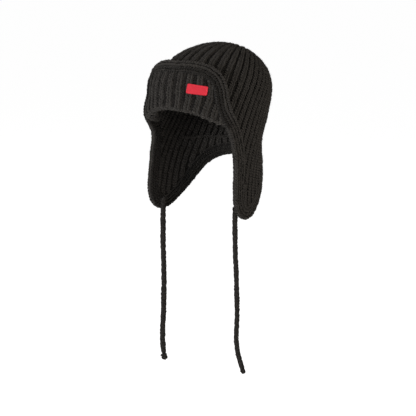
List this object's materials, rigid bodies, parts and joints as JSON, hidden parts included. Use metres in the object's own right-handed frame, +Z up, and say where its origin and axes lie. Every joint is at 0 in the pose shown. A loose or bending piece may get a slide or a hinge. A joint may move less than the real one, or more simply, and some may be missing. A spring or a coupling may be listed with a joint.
{
  "type": "knitted aviator hat",
  "caption": "Chunky ribbed knit hat with a turned-up front flap, hanging ear flaps, a knitted border all round and two cord ties.",
  "frame": {"origin": "inside of the crown's top, where a head bears against it", "axes": "+Z up, the hat faces -Y, the wearer's left is +X"},
  "size_m": [0.1873, 0.2184, 0.5352],
  "materials": {
    "charcoal_yarn": "chunky rib knit, matt and slightly fuzzy",
    "charcoal_cord": "knitted cord, matt",
    "red_tape": "woven tape with a slight sheen"
  },
  "bodies": {
    "root": {"crown": "charcoal_yarn", "edge_band": "charcoal_yarn", "front_flap": "charcoal_yarn", "label": "red_tape", "tie_left": "charcoal_cord", "tie_knot_left": "charcoal_cord", "tie_right": "charcoal_cord", "tie_knot_right": "charcoal_cord"}
  },
  "joints": []
}
